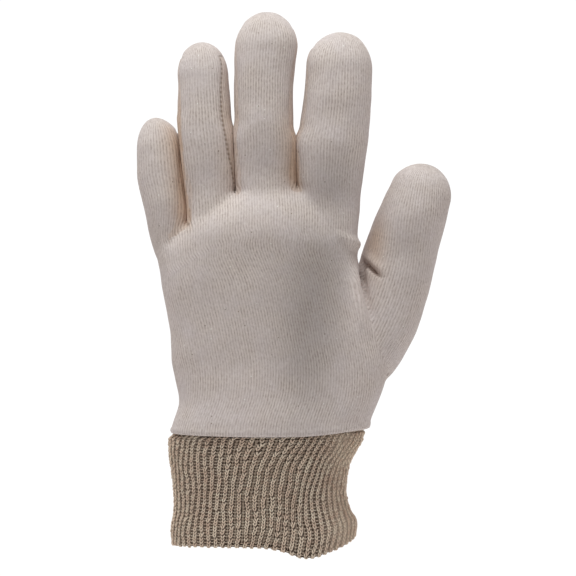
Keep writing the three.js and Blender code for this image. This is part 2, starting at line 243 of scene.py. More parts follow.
def move_to(bm, points):
    for vert, point in zip(bm.verts, points):
        vert.co = point


def mesh_of(bm, name):
    mesh = bpy.data.meshes.new(name)
    bm.to_mesh(mesh)
    bm.free()
    return mesh


def place_object(name, mesh):
    made = bpy.data.objects.new(name, mesh)
    bpy.context.scene.collection.objects.link(made)
    return made


def settled_mesh(source):
    """The mesh of an object with its modifiers applied. The object goes."""
    evaluated = source.evaluated_get(bpy.context.evaluated_depsgraph_get())
    mesh = bpy.data.meshes.new_from_object(evaluated)
    bpy.data.objects.remove(source)
    return mesh


def hand_points(turn, share):
    """The hand drawn out of a ball: a flat foot below the hem, the palm, and a cap along the web line."""
    length = 22 + PALM_LENGTH + 14 + 20
    along = share * length
    foot = np.clip(along / 22, 0, 1)
    at = (np.clip(along - 22, 0, PALM_LENGTH + 14) - 14) / PALM_LENGTH
    cap = np.clip((along - 22 - PALM_LENGTH - 14) / 20, 0, 1)
    turn = np.interp(turn, HAND_GIRTH[1] / HAND_GIRTH[1][-1], HAND_GIRTH[0])
    c, s = section(turn, HAND_ROUND)
    scale = np.minimum(foot, 1 - cap)
    left, right, back, palm = (column_at(HAND_ROWS, k, at) for k in ("left", "right", "back", "palm"))
    x = ((left + right) / 2 + (right - left) / 2 * c * scale) * HAND_WIDTH
    z = HEM_HEIGHT + (web_line(x) - HEM_HEIGHT) * at
    half = np.where(s < 0, back, palm) * WRIST_DEPTH
    return np.column_stack([x, mid_depth(x, z) + half * s * scale, z])


def stall_points(stall, turn, share):
    """A finger or thumb drawn out of a ball, along its leaning, slightly bent spine, with a round tip."""
    foot, along, across = stall_frame(stall)
    rows, length = stall["rows"], stall["length"]
    end = rows["at"][-1]
    tip = (1 - end) * length
    base, body, round_end = 8.0, end * length + stall["root"], 1.35 * tip
    run = share * (base + body + round_end)
    at = np.clip(run - base, 0, body) / length - stall["root"] / length
    over = np.clip((run - base - body) / round_end, 0, 1) * np.pi / 2
    scale = np.minimum(np.clip(run / base, 0, 1), np.cos(over))
    up = at * length + tip * np.sin(over)
    wide = column_at(rows, "wide", at) * stall["width"] / 2 * scale
    deep = column_at(rows, "deep", at) * stall["depth"] / 2 * scale
    c, s = section(turn, FINGER_ROUND)
    side = column_at(rows, "side", at) * stall["width"] + wide * c
    points = foot + np.outer(up, along) + np.outer(side, across)
    points[:, 1] += stall["bend"] * np.clip(up / length, 0, 1) ** 2 + deep * s
    return points


def stall_places(stall, points):
    """Height along a finger or thumb, place across and in depth from its spine, and its half sizes."""
    foot, along, across = stall_frame(stall)
    rows, length = stall["rows"], stall["length"]
    up = (points - foot) @ along
    at = up / length
    side = (points - foot) @ across - column_at(rows, "side", at) * stall["width"]
    depth = points[:, 1] - stall["set"] - stall["bend"] * np.clip(at, 0, 1) ** 2
    wide = column_at(rows, "wide", at) * stall["width"] / 2
    deep = column_at(rows, "deep", at) * stall["depth"] / 2
    return up, side, depth, wide, deep


def outside_stall(stall, points):
    """Rough distance of points outside the form of a finger or thumb, negative inside."""
    up, side, depth, wide, deep = stall_places(stall, points)
    end = stall["rows"]["at"][-1]
    over = np.clip((up / stall["length"] - end) / (1 - end), 0, 3)
    reach = (np.abs(side / wide) ** FINGER_ROUND + np.abs(depth / deep) ** FINGER_ROUND) ** (1 / FINGER_ROUND)
    return (np.hypot(reach, over) - 1) * np.minimum(wide, deep)


def hand_places(points):
    """Share of the way to the web line, place across and in depth, and the half sizes there."""
    x, y, z = points.T
    at = (z - HEM_HEIGHT) / (web_line(x) - HEM_HEIGHT)
    left, right, back, palm = (column_at(HAND_ROWS, k, at) for k in ("left", "right", "back", "palm"))
    side = x - (left + right) / 2 * HAND_WIDTH
    depth = y - mid_depth(x, z)
    return at, side, depth, (right - left) / 2 * HAND_WIDTH, np.where(depth < 0, back, palm) * WRIST_DEPTH


def outside_hand(points):
    """Rough distance of points outside the form of the hand, negative inside."""
    at, side, depth, wide, deep = hand_places(points)
    reach = (np.abs(side / wide) ** HAND_ROUND + np.abs(depth / deep) ** HAND_ROUND) ** (1 / HAND_ROUND)
    return np.maximum((reach - 1) * deep, (at - 1) * PALM_LENGTH)


def finger_edge(finger, z, way):
    """Place across of a finger's right edge (way 1), left edge (-1) or middle (0) at a height."""
    above = np.maximum(0, z - finger["z"])
    at = above / finger["length"]
    side, wide = column_at(finger["rows"], "side", at), column_at(finger["rows"], "wide", at)
    return finger["x"] + finger["slope"] * above + (side + way * wide / 2) * finger["width"]


# Folds of the cloth on the back of the hand: the points of each one's line across and up, how far it
# stands out (or sinks, when negative) at each point, and half its width
FOLDS = [
    dict(name="roll at the foot of the index finger", line=[(30, 142.5), (34, 141), (38.6, 138.8), (43.8, 137.3)],
         rise=[0.0, 0.7, 1.3, 1.7], half=2.0),
    dict(name="shadow under the roll", line=[(31, 138.6), (35, 137), (38.5, 135.2), (43, 133.6)],
         rise=[0.0, -0.5, -0.9, -1.0], half=1.8),
    dict(name="crease across the foot of the thumb",
         line=[(44.5, 130.4), (47.4, 127.6), (49.7, 125.6), (51.6, 123.8), (54, 121.6)],
         rise=[-2.0, -3.8, -4.0, -2.2, 0.0], half=1.1),
    dict(name="lip over that crease", line=[(47.5, 131), (50.5, 128.2), (53, 126), (56, 123.5)],
         rise=[0.6, 1.3, 1.1, 0.0], half=2.2),
    dict(name="tuck beside the edge of the hand",
         line=[(44.9, 128.6), (44.4, 124.5), (45.2, 119.5), (46.5, 113), (48.6, 106), (50.8, 99)],
         rise=[-2.4, -3.0, -2.2, -1.5, -0.8, 0.0], half=1.3),
    dict(name="edge of the hand beside the tuck", line=[(39.5, 128), (40, 120), (41.5, 112), (44.5, 103), (48, 94)],
         rise=[0.6, 2.2, 2.4, 1.6, 0.0], half=3.4),
]


# Joints of the hand inside the glove: place across, height, rise, and half sizes across and up
JOINTS = [(34, 205, 0.6, 13, 6), (31.5, 184, 1.1, 13, 9), (30, 157, -1.2, 14, 8), (28, 141, 1.3, 13, 9),
          (1.5, 193, 1.0, 12, 9), (1.0, 171, -1.2, 13, 9), (0, 146, 2.2, 18, 11),
          (-26.5, 185, 0.9, 10, 9), (-25, 164, -1.0, 11, 8), (-24, 143, 1.8, 13, 10),
          (-47, 158, 0.6, 8, 8), (-44, 143, -0.6, 9, 7),
          (19, 100, -1.6, 13, 34), (20, 72, -0.9, 14, 20), (66, 152, 0.8, 12, 10), (64, 133, -1.1, 12, 8)]


def along_line(fold, x, z):
    """Distance of points from a fold's line, and the fold's rise at the nearest place on it."""
    line, rise = np.array(fold["line"], float), np.array(fold["rise"], float)
    nearest, height = np.full(x.shape, 1e9), np.zeros(x.shape)
    for i in range(len(line) - 1):
        start, run = line[i], line[i + 1] - line[i]
        t = np.clip(((x - start[0]) * run[0] + (z - start[1]) * run[1]) / (run @ run), 0, 1)
        distance = np.hypot(x - start[0] - t * run[0], z - start[1] - t * run[1])
        closer = distance < nearest
        nearest = np.where(closer, distance, nearest)
        height = np.where(closer, rise[i] + t * (rise[i + 1] - rise[i]), height)
    return nearest, height


def joined_form():
    """The hand, fingers and thumb as one closed skin, with soft fillets where the fingers leave the hand."""
    hand = ball(212, 150)
    move_to(hand, hand_points(*places_on_ball(coordinates(hand))))
    form = place_object("form", mesh_of(hand, "form"))
    stalls = []
    for stall in FINGERS + [THUMB]:
        bm = ball(72, 96)
        move_to(bm, stall_points(stall, *places_on_ball(coordinates(bm))))
        other = place_object(stall["name"], mesh_of(bm, stall["name"]))
        cut = form.modifiers.new(stall["name"], "BOOLEAN")
        cut.operation, cut.solver, cut.object = "UNION", "MANIFOLD", other
        stalls.append(other)
    mesh = settled_mesh(form)
    for other in stalls:
        bpy.data.objects.remove(other)
    bm = bmesh.new()
    bm.from_mesh(mesh)
    bpy.data.meshes.remove(mesh)
    bmesh.ops.remove_doubles(bm, verts=bm.verts, dist=0.25)
    points = coordinates(bm)
    form = place_object("form", mesh_of(bm, "form"))
    hand_gap = np.abs(outside_hand(points))
    blend = np.zeros(len(points))
    for stall in FINGERS:
        blend = np.maximum(blend, np.exp(-((np.abs(outside_stall(stall, points)) / 4) ** 2 + (hand_gap / 4) ** 2)))
    low = ease(126, 92, points[:, 2])
    reach = 2 + 8 * np.maximum(low, ease(46, 52, points[:, 0]) * 0.6)
    thumb_gap = np.abs(outside_stall(THUMB, points))
    blend = np.maximum(blend, np.exp(-((thumb_gap / reach) ** 2 + (hand_gap / reach) ** 2)) * (0.25 + 0.75 * low))
    group = form.vertex_groups.new(name="soft")
    for i in np.flatnonzero(blend > 0.02):
        group.add([int(i)], float(blend[i]), "REPLACE")
    soften = form.modifiers.new("soften", "SMOOTH")
    soften.factor, soften.iterations, soften.vertex_group = 0.5, 40, "soft"
    even = form.modifiers.new("even", "SMOOTH")
    even.factor, even.iterations = 0.5, 2
    return settled_mesh(form)


def normals_of(mesh):
    normals = np.empty(len(mesh.vertices) * 3)
    mesh.vertices.foreach_get("normal", normals)
    return normals.reshape(-1, 3)


def points_of(mesh):
    points = np.empty(len(mesh.vertices) * 3)
    mesh.vertices.foreach_get("co", points)
    return points.reshape(-1, 3)


def fill_points(mesh, points):
    mesh.vertices.foreach_set("co", points.ravel())
    mesh.update()


def crumpled(points, normals):
    """Points of the cloth moved by its folds and by the slight unevenness of knitted cotton."""
    moved = points.copy()
    facing = np.clip(-normals[:, 1] * 1.6 + 0.25, 0, 1)
    for fold in FOLDS:
        distance, rise = along_line(fold, points[:, 0], points[:, 2])
        moved += normals * (rise * facing * np.exp(-((distance / fold["half"]) ** 2)))[:, None]
    for x, z, rise, across, up in JOINTS:
        broad = np.exp(-(((points[:, 0] - x) / across) ** 2) - ((points[:, 2] - z) / up) ** 2)
        moved += normals * (rise * facing * broad)[:, None]
    wave = np.array([noise.noise(Vector(p) * 0.055) * 0.55 + noise.noise(Vector(p) * 0.14) * 0.22 for p in points])
    quiet = ease(HEM_HEIGHT, HEM_HEIGHT + 12, points[:, 2])
    return moved + normals * (wave * quiet)[:, None]


def pressed(points):
    """Points of the fingers bulged towards the finger beside them, so that the two lie flat against each
    other as far up as FINGERS_TOUCH says."""
    moved = points.copy()
    x, y, z = points.T
    for pair, top in enumerate(FINGERS_TOUCH):
        left, right = FINGERS[pair], FINGERS[pair + 1]
        edges = finger_edge(left, z, 1), finger_edge(right, z, -1)
        between = sum(edges) / 2
        gap = np.maximum(edges[1] - edges[0], 0) / 2 + 1.3
        height = ease(top + 8, top - 2, z) * ease(WEBS[pair] - 1, WEBS[pair] + 5, z)
        for finger, way in ((left, 1), (right, -1)):
            middle = finger_edge(finger, z, 0)
            half = (finger_edge(finger, z, 1) - finger_edge(finger, z, -1)) / 2
            near = np.clip((x - middle) * way / half, 0, 1.2)
            own = (near > 0) & ((x - between) * way <= 0)
            push = np.minimum(gap * height * near**2, np.maximum((between - x) * way + 0.08, 0))
            moved[:, 0] += np.where(own, way * push, 0)
    return moved


def level_cut(bm, level, faces=None, clear=False):
    """Cuts a mesh along the zero line of a level, given for points, and clears the positive side if asked."""
    rest = bm.verts.layers.float_vector["rest"]
    if faces is None:
        faces = bm.faces[:]
    verts = list({v for f in faces for v in f.verts})
    edges = list({e for f in faces for e in f.edges})
    points = np.array([v[rest][:] for v in verts])
    for vert, value in zip(verts, level(points)):
        vert.co = (value, vert[rest][2], vert[rest][0])
    bmesh.ops.bisect_plane(bm, geom=verts + edges + faces, dist=0.04, plane_co=(0, 0, 0), plane_no=(1, 0, 0),
                           clear_outer=clear)
    for vert in bm.verts:
        vert.co = vert[rest]


def hem_level(points):
    """How far points lie below the hem, which sags in the middle and rises to the thumb's side."""
    share = points[:, 0] / (HAND_WIDTH / 2)
    return HEM_HEIGHT - 1.1 + 1.5 * np.abs(share) ** 2 + 1.6 * ease(0.3, 1, share) - points[:, 2]


def thumb_level(points):
    """Negative on the thumb's side of the seam that sets it into the hand. The seam closes in a shallow
    curve across the thumb's foot."""
    rest = outside_hand(points)
    rest = np.where(points[:, 2] > 150, np.minimum(rest, outside_stall(FINGERS[-1], points)), rest)
    up, side, _, wide, _ = stall_places(THUMB, points)
    return np.maximum(outside_stall(THUMB, points) - rest, THUMB_CURVE * (side / wide) ** 2 - up)


def seam_level(points):
    """Negative on the back of the hand, positive on its palm side."""
    return points[:, 1] - mid_depth(points[:, 0], points[:, 2])


def fourchette_level(pair, points):
    """Positive on the strip between two fingers."""
    left, right = FINGERS[pair], FINGERS[pair + 1]
    x, y, z = points.T
    between = (finger_edge(left, z, 1) + finger_edge(right, z, -1)) / 2
    on_left = x < between
    foot = np.where(on_left, left["z"], right["z"])
    high = np.where(on_left, left["z"] + left["length"], right["z"] + right["length"]) - FOURCHETTE_STOP
    share = np.clip((z - foot) / (high - foot), 0, 1)
    half = (FOURCHETTE_WIDTH + (FOURCHETTE_TIP - FOURCHETTE_WIDTH) * share**3) / 2
    own = np.where(on_left, finger_edge(left, z, 0), finger_edge(right, z, 0))
    swing = FOURCHETTE_TURNS[pair] * (2.4 * ease(0.02, 0.5, share) - 1.4 + 0.8 * share**2)
    turn = np.where(on_left, swing, 0)
    return np.minimum(half - np.abs(y - mid_depth(own, z) + turn), high - z)


def in_fourchette_region(pair, centres):
    """Whether places lie between the middles of two neighbouring fingers, above the strip's foot."""
    left, right = FINGERS[pair], FINGERS[pair + 1]
    x, _, z = centres.T
    low = min(left["z"], right["z"]) - FINGER_ROOT / 2
    return (x > finger_edge(left, z, 0)) & (x < finger_edge(right, z, 0)) & (z > low)


def centres_of(faces, rest):
    return np.array([np.mean([v[rest][:] for v in f.verts], axis=0) for f in faces])


def hand_coordinate(points):
    """Place along the knit's courses, measured round the hand from the middle of its back or palm."""
    at, side, depth, wide, deep = hand_places(points)
    x, _, z = points.T
    left, right = x - side - wide, x - side + wide
    left += (np.minimum(left, finger_edge(FINGERS[0], z, -1) - 1) - left) * ease(118, 140, z)
    right += (np.maximum(right, finger_edge(FINGERS[-1], z, 1) + 1) - right) * ease(135, 158, z)
    wide = (right - left) / 2
    c = np.clip((x - (left + right) / 2) / wide, -0.999, 0.999)
    flat = (1 - np.abs(c) ** HAND_ROUND) ** (1 / HAND_ROUND)
    real = np.abs(depth) / np.maximum(deep, 13)
    turn = turn_of(c, flat + (real - flat) * ease(0.85, 0.99, np.abs(c)), HAND_ROUND)
    run = np.interp(0.25, *HAND_GIRTH) - np.interp(turn, *HAND_GIRTH)
    return run * wide / 48


def stall_coordinate(stall, points, front):
    """The same round a finger or the thumb."""
    up, side, depth, wide, deep = stall_places(stall, points)
    turns, lengths = girth(stall["width"] / 2, stall["depth"] / 2, FINGER_ROUND)
    turn = turn_of(side / np.maximum(wide, 1e-3), depth / np.maximum(deep, 1e-3), FINGER_ROUND)
    run = np.interp(turn, turns, lengths) - np.interp(0.75 if front else 0.25, turns, lengths)
    whole = lengths[-1]
    run = (run + whole / 2) % whole - whole / 2
    return run * (1 if front else -1), up


def seam_coordinates(points):
    """Distance from the strip's seam on the right side of the ring finger, to 3 mm at the most, and place
    along it."""
    pair = 1
    inside = in_fourchette_region(pair, points) & (points[:, 2] > FINGERS[pair]["z"] + 10) & (points[:, 1] < 8)
    inside &= points[:, 0] < (finger_edge(FINGERS[1], points[:, 2], 1) + finger_edge(FINGERS[2], points[:, 2], -1)) / 2
    gap = np.where(inside, np.minimum(3, np.abs(fourchette_level(pair, points))), 3)
    return np.column_stack([gap, points[:, 2]])


# Painted shade and painted highlight put into the cloth's colour, where the light alone leaves an area of the back
# brighter or duller than on the real glove; what makes the real glove so there isn't known. Place across, height,
# half sizes across and up, and how much darker (lighter, a painted highlight, where negative)
PAINTED_LIGHT_AND_SHADE = [(20, 98, 14, 46, 0.3), (31, 167, 13, 14, 0.2), (2, 178, 13, 9, 0.08), (67, 132, 13, 16, 0.1),
         (30, 130, 12, 20, 0.12), (6, 149, 24, 8, -0.1), (41.5, 112, 4.5, 15, -0.2)]

# Painted shade of a browner tone where the cloth faces other cloth close by, as light bounced between the two
# warms it: how much on the right side of the little, ring and middle finger, and on the thumb beside the hand
BROWN_SHADE_SIDES = [1.0, 0.45, 1.0]
BROWN_SHADE_THUMB = 0.7


def painted_light_and_shade_coordinates(points):
    """How much painted shade darkens the cloth's colour (painted highlight lightens it where negative), and how much
    painted shade browns it.
    """
    dark = np.zeros(len(points))
    for x, z, across, up, much in PAINTED_LIGHT_AND_SHADE:
        broad = np.exp(-(((points[:, 0] - x) / across) ** 2) - ((points[:, 2] - z) / up) ** 2)
        dark += much * broad * ease(3, -3, points[:, 1])
    x, _, z = points.T
    brown_shade = BROWN_SHADE_THUMB * np.exp(-(((x - 50.5) / 5) ** 2) - ((z - 138) / 15) ** 2)
    for pair, top in enumerate(FINGERS_TOUCH):
        inside = finger_edge(FINGERS[pair], z, 1) - x
        near = BROWN_SHADE_SIDES[pair] * np.where(inside > -3, np.exp(-((inside / 6) ** 2)), 0)
        brown_shade += near * ease(top + 28, top - 8, z) * ease(WEBS[pair] - 4, WEBS[pair] + 8, z)
    return np.column_stack([dark, np.minimum(brown_shade, 1) * ease(9, 3, points[:, 1])])


def knit_coordinates(name, points):
    """Across and along the knit, in millimetres, for the points of a panel."""
    front = name != "palm_panel"
    if name == "thumb":
        across, up = stall_coordinate(THUMB, points, True)
        slant = 0.42 * np.clip(62 - up, 0, 62) ** 2 / 124 + 0.1 * np.clip(up - 62, 0, 60)
        return np.column_stack([across + 0.1 * up + slant, up])
    across = hand_coordinate(points)
    along = points[:, 2].copy()
    z = points[:, 2]
    away = [np.abs(points[:, 0] - finger_edge(f, z, 0)) / f["width"] for f in FINGERS]
    nearest = np.argmin(away, axis=0)
    for i, finger in enumerate(FINGERS):
        share = (nearest == i) * ease(finger["z"] + 2, finger["z"] + 30, z)
        level = np.array([finger["z"] + 16.0])
        centre = np.column_stack([finger_edge(finger, level, 0), 0 * level, level])
        offset = hand_coordinate(centre)[0]
        round_it, up = stall_coordinate(finger, points, front)
        across = np.where(share > 0, across + (offset + round_it - across) * share, across)
    return np.column_stack([across, along])


def to_metres(mesh):
    fill_points(mesh, points_of(mesh) * MM)


def shade_smooth(mesh, angle=50):
    """Smooth shading, with edges sharper than an angle kept."""
    mesh.polygons.foreach_set("use_smooth", [True] * len(mesh.polygons))
    mesh.set_sharp_from_angle(angle=math.radians(angle))


def fill_pairs(mesh, name, values, period=None):
    """A map of the surface's own two coordinates, given for points. The first one may start again after a
    period, and no face is stretched over that place."""
    layer = mesh.uv_layers.new(name=name)
    index, count = np.empty(len(mesh.loops), np.int32), np.empty(len(mesh.polygons), np.int32)
    mesh.loops.foreach_get("vertex_index", index)
    mesh.polygons.foreach_get("loop_total", count)
    pairs = values[index]
    if period:
        first = np.repeat(pairs[np.cumsum(count) - count, 0], count)
        pairs[:, 0] -= period * np.round((pairs[:, 0] - first) / period)
    layer.data.foreach_set("uv", pairs.ravel())


def add_node(tree, kind, settings=None, inputs=None):
    """A node with its settings, and its sockets given a value or linked to another node's output."""
    node = tree.nodes.new(kind)
    for name, value in (settings or {}).items():
        setattr(node, name, value)
    for name, value in (inputs or {}).items():
        if isinstance(value, bpy.types.NodeSocket):
            tree.links.new(value, node.inputs[name])
        else:
            node.inputs[name].default_value = value
    return node


def linear(code):
    """A colour from its sRGB hex number."""
    parts = [((code >> shift) & 255) / 255 for shift in (16, 8, 0)]
    return tuple(p / 12.92 if p <= 0.04045 else ((p + 0.055) / 1.055) ** 2.4 for p in parts) + (1.0,)


def start_material(name):
    material = bpy.data.materials.new(name)
    material.use_nodes = True
    tree = material.node_tree
    tree.nodes.clear()
    output = add_node(tree, "ShaderNodeOutputMaterial")
    return material, tree, output


def interlock_cotton(name, code, wale_pitch):
    """Unbleached cotton interlock, a fine double knit brushed soft: matt, with faint columns of stitches
    along each finger, short dark gaps between them, flecks of husk and pale knots of fibre."""
    material, tree, output = start_material(name)
    knit = add_node(tree, "ShaderNodeUVMap", {"uv_map": "knit"}).outputs["UV"]
    place = add_node(tree, "ShaderNodeTexCoord").outputs["Object"]
    wander = add_node(tree, "ShaderNodeTexNoise", {}, {"Vector": place, "Scale": 70.0, "Detail": 2.0})
    split = add_node(tree, "ShaderNodeSeparateXYZ", {}, {0: knit})
    drift = add_node(tree, "ShaderNodeMath", {"operation": "MULTIPLY_ADD"},
                     {0: wander.outputs["Fac"], 1: 0.9, 2: split.outputs["X"]})
    turns = add_node(tree, "ShaderNodeMath", {"operation": "MULTIPLY"},
                     {0: drift.outputs[0], 1: 2 * math.pi / wale_pitch})
    wale = add_node(tree, "ShaderNodeMath", {"operation": "COSINE"}, {0: turns.outputs[0]})
    column = add_node(tree, "ShaderNodeMapRange", {}, {"Value": wale.outputs[0], "From Min": -1.0, "From Max": 1.0})

    # Gaps between stitches: about 0.4 mm wide and 1.5 mm long, in the dips between columns
    stretch = add_node(tree, "ShaderNodeMapping", {}, {"Vector": knit, "Scale": (1 / 0.6, 1 / 1.6, 1.0)})
    gaps = add_node(tree, "ShaderNodeTexNoise", {}, {"Vector": stretch.outputs[0], "Scale": 1.0, "Detail": 1.0})
    gap = add_node(tree, "ShaderNodeMapRange", {}, {"Value": gaps.outputs["Fac"], "From Min": 0.42, "From Max": 0.68})
    dips = add_node(tree, "ShaderNodeMapRange", {}, {"Value": wale.outputs[0], "From Min": 0.6, "From Max": -0.9})
    dash = add_node(tree, "ShaderNodeMath", {"operation": "MULTIPLY"}, {0: gap.outputs[0], 1: dips.outputs[0]})

    # Cloudy change of tone over 10 to 20 mm, and a finer one over 1 mm from the brushed fibres
    cloud = add_node(tree, "ShaderNodeTexNoise", {}, {"Vector": place, "Scale": 75.0, "Detail": 3.0})
    fibre = add_node(tree, "ShaderNodeTexNoise", {}, {"Vector": place, "Scale": 800.0, "Detail": 3.0,
                                                      "Roughness": 0.75})
    tone = add_node(tree, "ShaderNodeMix", {"data_type": "RGBA"},
                    {"Factor": cloud.outputs["Fac"], "A": linear(shifted(code, -4, -3, 2)),
                     "B": linear(shifted(code, 6, 5, 0))})
    deep = linear(shifted(code, -58, -64, -68))
    clear = add_node(tree, "ShaderNodeMapRange", {}, {"Value": cloud.outputs["Fac"], "From Min": 0.35,
                                                      "From Max": 0.65, "To Min": 0.22, "To Max": 0.52})
    line = add_node(tree, "ShaderNodeMath", {"operation": "MULTIPLY_ADD"},
                    {0: dips.outputs[0], 1: 0.6, 2: dash.outputs[0]})
    shade = add_node(tree, "ShaderNodeMath", {"operation": "MULTIPLY"}, {0: line.outputs[0], 1: clear.outputs[0]})
    lined = add_node(tree, "ShaderNodeMix", {"data_type": "RGBA"},
                     {"Factor": shade.outputs[0], "A": tone.outputs["Result"], "B": deep})
    dull = add_node(tree, "ShaderNodeMapRange", {}, {"Value": fibre.outputs["Fac"], "From Min": 0.35, "From Max": 0.7,
                                                     "To Min": 0.0, "To Max": 0.34})
    plain = add_node(tree, "ShaderNodeMix", {"data_type": "RGBA"},
                     {"Factor": dull.outputs[0], "A": lined.outputs["Result"], "B": deep})

    # Needle holes of the seams, 1 mm long and 2.2 mm apart
    sewn = add_node(tree, "ShaderNodeUVMap", {"uv_map": "seam"}).outputs["UV"]
    seam = add_node(tree, "ShaderNodeSeparateXYZ", {}, {0: sewn})
    along = add_node(tree, "ShaderNodeMath", {"operation": "MULTIPLY"}, {0: seam.outputs["Y"], 1: 2 * math.pi / 2.2})
    hole = add_node(tree, "ShaderNodeMath", {"operation": "SINE"}, {0: along.outputs[0]})
    near = add_node(tree, "ShaderNodeMapRange", {}, {"Value": seam.outputs["X"], "From Min": 0.65, "From Max": 0.2})
    open_ = add_node(tree, "ShaderNodeMapRange", {}, {"Value": hole.outputs[0], "From Min": -0.5, "From Max": 0.4,
                                                      "To Min": 0.22, "To Max": 0.62})
    stitch = add_node(tree, "ShaderNodeMath", {"operation": "MULTIPLY"}, {0: near.outputs[0], 1: open_.outputs[0]})
    soft = add_node(tree, "ShaderNodeMix", {"data_type": "RGBA"},
                    {"Factor": stitch.outputs[0], "A": plain.outputs["Result"], "B": linear(0x6E5846)})

    # Pale knots of fibre and dark flecks of husk, 0.3 to 0.6 mm across, a few to each square centimetre
    knots = add_node(tree, "ShaderNodeTexVoronoi", {}, {"Vector": place, "Scale": 330.0})
    pale = add_node(tree, "ShaderNodeMapRange", {}, {"Value": knots.outputs["Distance"], "From Min": 0.12,
                                                     "From Max": 0.05})
    rare = add_node(tree, "ShaderNodeSeparateColor", {}, {0: knots.outputs["Color"]})
    few = add_node(tree, "ShaderNodeMath", {"operation": "GREATER_THAN"}, {0: rare.outputs[0], 1: 0.8})
    fleck = add_node(tree, "ShaderNodeMath", {"operation": "LESS_THAN"}, {0: rare.outputs[0], 1: 0.07})
    knot = add_node(tree, "ShaderNodeMath", {"operation": "MULTIPLY"}, {0: pale.outputs[0], 1: few.outputs[0]})
    husk = add_node(tree, "ShaderNodeMath", {"operation": "MULTIPLY"}, {0: pale.outputs[0], 1: fleck.outputs[0]})
    lit = add_node(tree, "ShaderNodeMix", {"data_type": "RGBA"},
                   {"Factor": knot.outputs[0], "A": soft.outputs["Result"], "B": linear(0xF6F2EC)})
    flecked = add_node(tree, "ShaderNodeMix", {"data_type": "RGBA"},
                       {"Factor": husk.outputs[0], "A": lit.outputs["Result"], "B": linear(0x75634F)})

    relief = add_node(tree, "ShaderNodeMath", {"operation": "MULTIPLY_ADD"},
                      {0: dash.outputs[0], 1: -0.9, 2: column.outputs[0]})
    fuzz = add_node(tree, "ShaderNodeMath", {"operation": "MULTIPLY_ADD"},
                    {0: fibre.outputs["Fac"], 1: 0.9, 2: relief.outputs[0]})
    bump = add_node(tree, "ShaderNodeBump", {}, {"Height": fuzz.outputs[0], "Strength": 0.6, "Distance": 0.00025})
    # Painted shade and painted highlight: the colour darkened, lightened where the amount is negative, and browned
    # between close cloth, as the "tone" map says
    painted_light_and_shade_map = add_node(tree, "ShaderNodeUVMap", {"uv_map": "tone"}).outputs["UV"]
    much = add_node(tree, "ShaderNodeSeparateXYZ", {}, {0: painted_light_and_shade_map})
    light = add_node(tree, "ShaderNodeMath", {"operation": "SUBTRACT"}, {0: 1.0, 1: much.outputs["X"]})
    brown_shade = add_node(tree, "ShaderNodeVectorMath", {"operation": "MULTIPLY"},
                     {0: flecked.outputs["Result"], 1: (0.9, 0.76, 0.62)})
    brown_shaded = add_node(tree, "ShaderNodeMix", {"data_type": "RGBA"},
                       {"Factor": much.outputs["Y"], "A": flecked.outputs["Result"], "B": brown_shade.outputs[0]})
    painted_light_and_shade_colour = add_node(tree, "ShaderNodeVectorMath", {"operation": "SCALE"},
                      {0: brown_shaded.outputs["Result"], "Scale": light.outputs[0]})
    shader = add_node(tree, "ShaderNodeBsdfPrincipled", {},
                      {"Base Color": painted_light_and_shade_colour.outputs[0], "Roughness": 0.95, "Sheen Weight": 0.12,
                       "Sheen Roughness": 0.5, "Specular IOR Level": 0.2, "Normal": bump.outputs[0]})
    tree.links.new(shader.outputs[0], output.inputs["Surface"])
    return material


def shifted(code, red, green, blue):
    """A hex colour with each part moved by a number."""
    parts = [max(0, min(255, ((code >> s) & 255) + d)) for s, d in zip((16, 8, 0), (red, green, blue))]
    return (parts[0] << 16) + (parts[1] << 8) + parts[2]


def rib_yarn(name, code, deep):
    """Beige cotton yarn, soft twist, knitted into ribs: matt, each stitch of a slightly different tone, and
    the yarn's plies showing as fine lines across it."""
    material, tree, output = start_material(name)
    stitch = add_node(tree, "ShaderNodeUVMap", {"uv_map": "stitch"}).outputs["UV"]
    parts = add_node(tree, "ShaderNodeSeparateXYZ", {}, {0: stitch})
    place = add_node(tree, "ShaderNodeTexCoord").outputs["Object"]
    fibre = add_node(tree, "ShaderNodeTexNoise", {}, {"Vector": place, "Scale": 2600.0, "Detail": 2.0})
    cloud = add_node(tree, "ShaderNodeTexNoise", {}, {"Vector": place, "Scale": 90.0, "Detail": 3.0})
    tone = add_node(tree, "ShaderNodeMath", {"operation": "MULTIPLY_ADD"},
                    {0: cloud.outputs["Fac"], 1: 0.7, 2: parts.outputs["X"]})
    share = add_node(tree, "ShaderNodeMapRange", {}, {"Value": tone.outputs[0], "From Min": 0.2, "From Max": 1.45})
    colour = add_node(tree, "ShaderNodeMix", {"data_type": "RGBA"},
                      {"Factor": share.outputs[0], "A": linear(shifted(code, -20, -20, -20)),
                       "B": linear(shifted(code, 22, 22, 22))})
    # Painted shade in the hollows: the stitch map's second coordinate draws the colour towards the dark hollow colour
    painted_hollow_shade = add_node(tree, "ShaderNodeMix", {"data_type": "RGBA"},
                    {"Factor": parts.outputs["Y"], "A": linear(deep), "B": colour.outputs["Result"]})
    speck = add_node(tree, "ShaderNodeMapRange", {}, {"Value": fibre.outputs["Fac"], "From Min": 0.35,
                                                      "From Max": 0.65, "To Min": 0.0, "To Max": 0.22})
    dusty = add_node(tree, "ShaderNodeMix", {"data_type": "RGBA"},
                     {"Factor": speck.outputs[0], "A": painted_hollow_shade.outputs["Result"], "B": linear(deep)})
    bump = add_node(tree, "ShaderNodeBump", {}, {"Height": fibre.outputs["Fac"], "Strength": 0.5, "Distance": 0.0002})
    shader = add_node(tree, "ShaderNodeBsdfPrincipled", {},
                      {"Base Color": dusty.outputs["Result"], "Roughness": 0.95, "Sheen Weight": 0.1,
                       "Specular IOR Level": 0.2, "Normal": bump.outputs[0]})
    tree.links.new(shader.outputs[0], output.inputs["Surface"])
    return material


